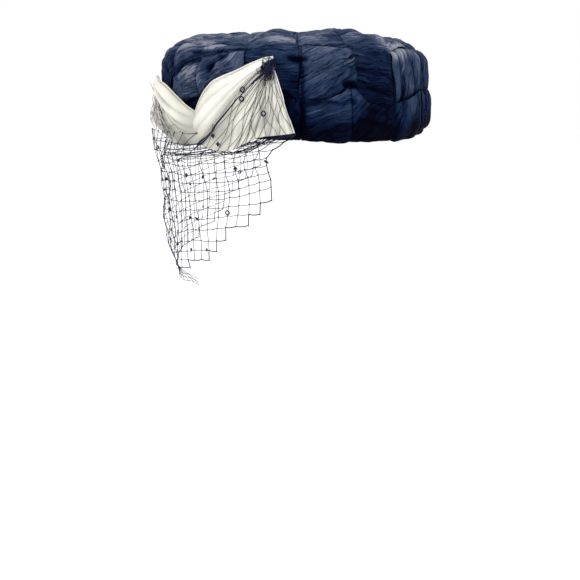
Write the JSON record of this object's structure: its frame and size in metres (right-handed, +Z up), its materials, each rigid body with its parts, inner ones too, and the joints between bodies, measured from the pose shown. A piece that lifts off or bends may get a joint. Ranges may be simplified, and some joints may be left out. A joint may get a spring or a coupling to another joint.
{
  "type": "pillbox hat",
  "caption": "Soft pillbox hat with a woven navy ribbon crown, a cream satin bow and a stepped net face veil.",
  "frame": {"origin": "centre of the head opening in the plane of the rim, where the hat sits on the head", "axes": "+Z up through the crown, -Y the way the wearer faces, +X the wearer's left, the side of the bow"},
  "size_m": [0.2077, 0.2108, 0.1714],
  "materials": {
    "navy_ribbon": "crinkled ribbon with a soft sheen",
    "navy_backing": "matt stiffened cloth",
    "cream_satin": "satin",
    "navy_net": "matt thread"
  },
  "bodies": {
    "root": {"crown": "navy_backing", "upright_01": "navy_ribbon", "upright_02": "navy_ribbon", "upright_03": "navy_ribbon", "upright_04": "navy_ribbon", "upright_05": "navy_ribbon", "upright_06": "navy_ribbon", "upright_07": "navy_ribbon", "upright_08": "navy_ribbon", "upright_09": "navy_ribbon", "upright_10": "navy_ribbon", "upright_11": "navy_ribbon", "upright_12": "navy_ribbon", "upright_13": "navy_ribbon", "upright_14": "navy_ribbon", "upright_15": "navy_ribbon", "upright_16": "navy_ribbon", "upright_17": "navy_ribbon", "upright_18": "navy_ribbon", "hoop_1": "navy_ribbon", "hoop_2": "navy_ribbon", "hoop_3": "navy_ribbon", "tip_lengthwise_1": "navy_ribbon", "tip_crosswise_1": "navy_ribbon", "tip_lengthwise_2": "navy_ribbon", "tip_crosswise_2": "navy_ribbon", "tip_lengthwise_3": "navy_ribbon", "tip_crosswise_3": "navy_ribbon", "tip_lengthwise_4": "navy_ribbon", "tip_crosswise_4": "navy_ribbon", "bow_fan_left": "cream_satin", "bow_fold_left": "cream_satin", "bow_fan_right": "cream_satin", "bow_fold_right": "cream_satin", "veil": "navy_net"}
  },
  "joints": []
}
